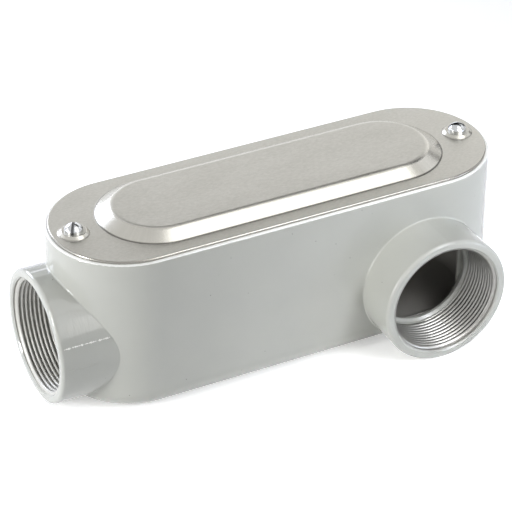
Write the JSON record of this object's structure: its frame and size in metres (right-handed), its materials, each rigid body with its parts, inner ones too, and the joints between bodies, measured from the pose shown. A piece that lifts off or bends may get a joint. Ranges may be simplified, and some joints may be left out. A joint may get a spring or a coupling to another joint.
{
  "type": "conduit body",
  "caption": "Right-hand side-outlet conduit body: an obround casting with a threaded hub on one end and one on its side, closed by a screwed-down stamped cover with a raised panel.",
  "frame": {"origin": "middle of the flat back face, midway between the two rounded ends and between the long sides", "axes": "+X along the length, away from the end hub; -Y out of the side hub; +Z out of the cover"},
  "size_m": [0.2517, 0.1045, 0.0944],
  "materials": {
    "painted_casting": "gloss light grey enamel on cast aluminium",
    "stamped_aluminium": "satin rolled sheet with a drawn panel",
    "gasket_rubber": "matt black neoprene",
    "zinc_plated_steel": "bright zinc plating"
  },
  "bodies": {
    "root": {"body": "painted_casting", "gasket": "gasket_rubber", "cover": "stamped_aluminium", "left_cover_screw": "zinc_plated_steel", "right_cover_screw": "zinc_plated_steel"}
  },
  "joints": []
}
